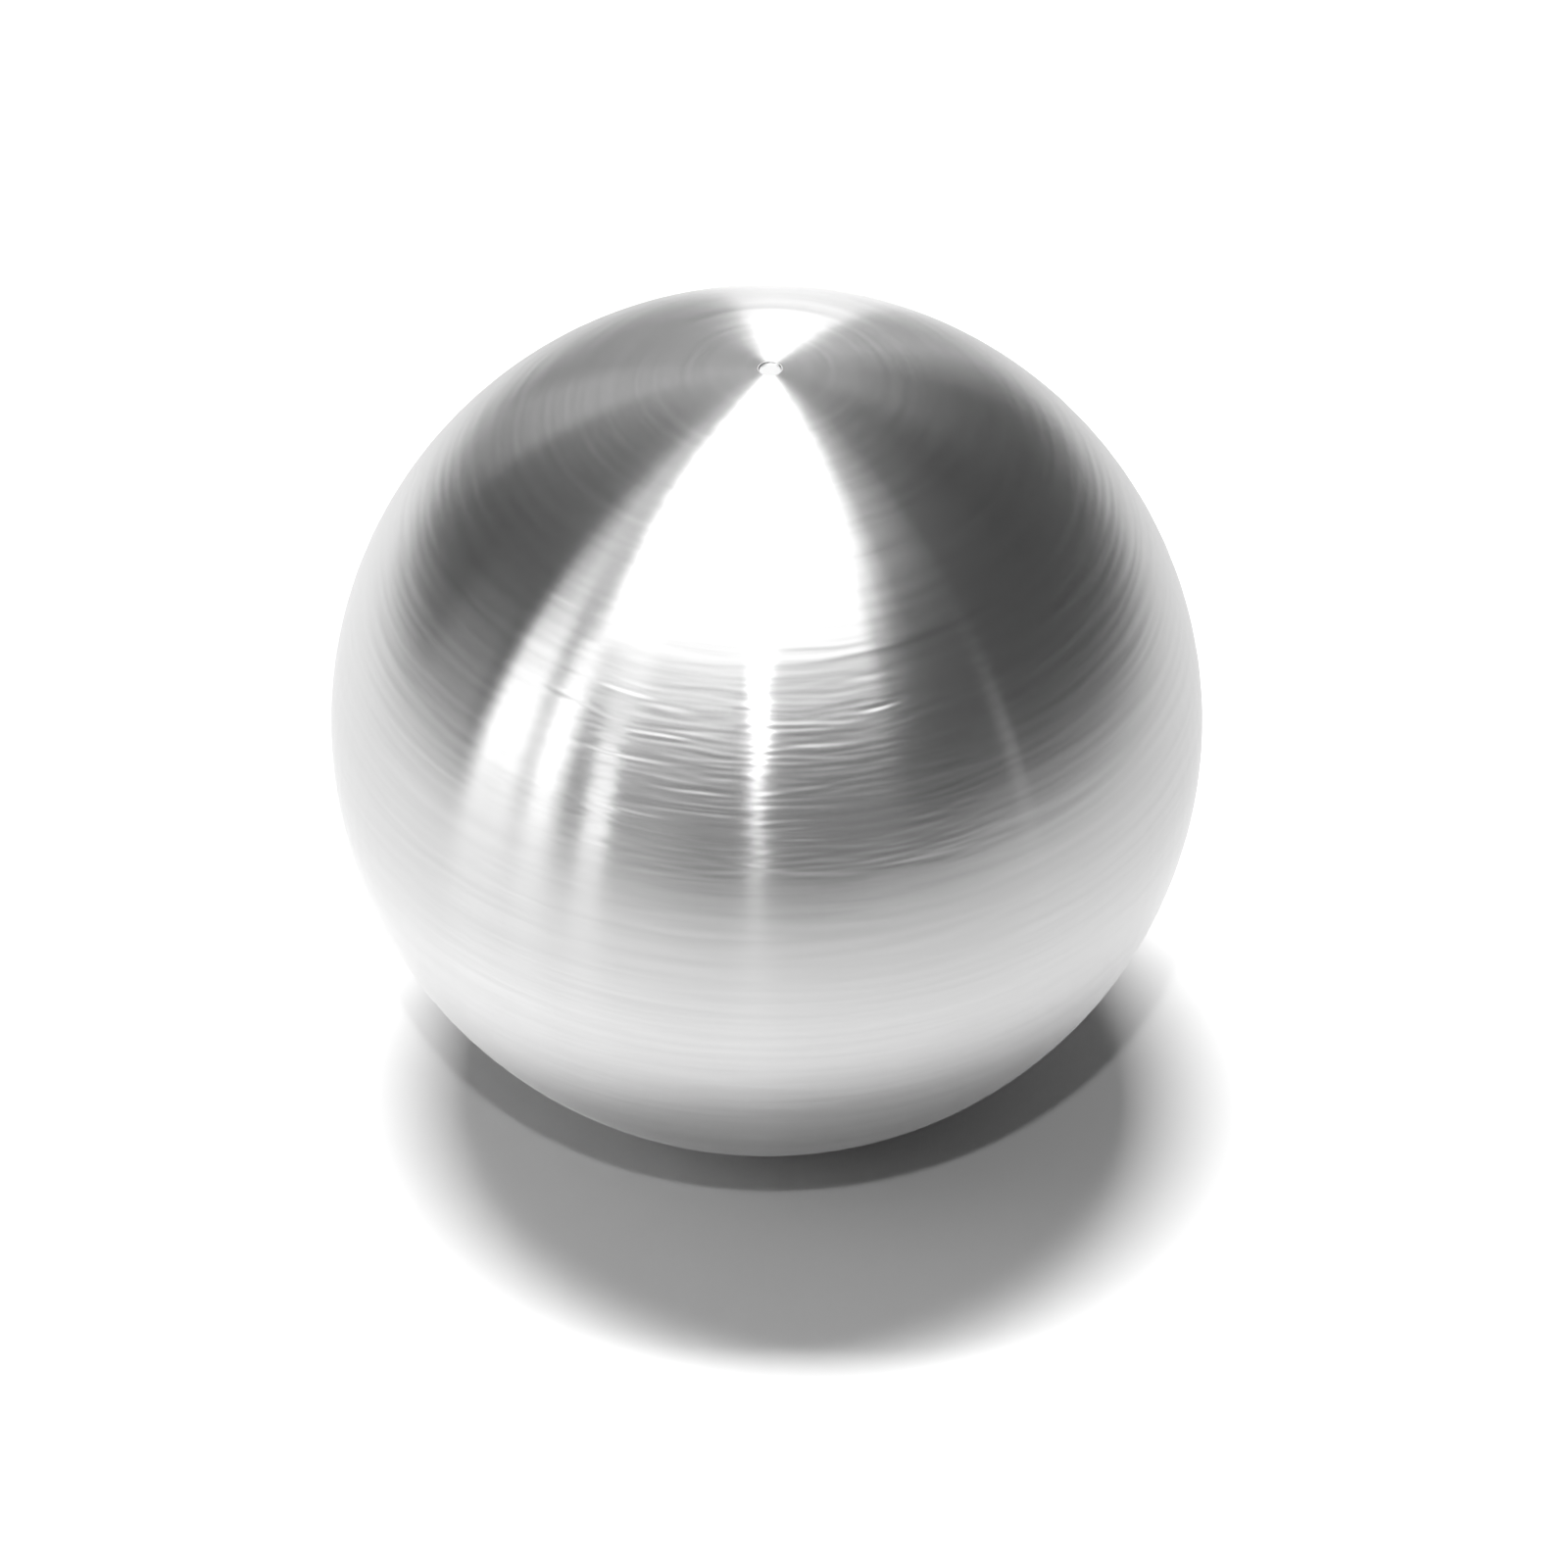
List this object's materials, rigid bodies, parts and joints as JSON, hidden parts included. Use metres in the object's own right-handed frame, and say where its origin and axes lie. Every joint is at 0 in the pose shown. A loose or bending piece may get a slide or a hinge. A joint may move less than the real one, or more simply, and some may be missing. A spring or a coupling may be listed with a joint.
{
  "type": "steel ball",
  "caption": "Solid steel ball with a turned and polished finish, its fine lines circling an axis that ends in a small centre mark. Sits in a ring, cup or socket.",
  "frame": {"origin": "centre of the ball", "axes": "+Z along the turning axis, out through the small centre mark; X and Y are any two level directions, because the ball is round about Z"},
  "size_m": [0.025, 0.025, 0.025],
  "materials": {
    "turned_steel": "bright steel, turned on a lathe and polished, with fine lines round the turning axis"
  },
  "bodies": {
    "root": {"steel_ball": "turned_steel"}
  },
  "joints": []
}
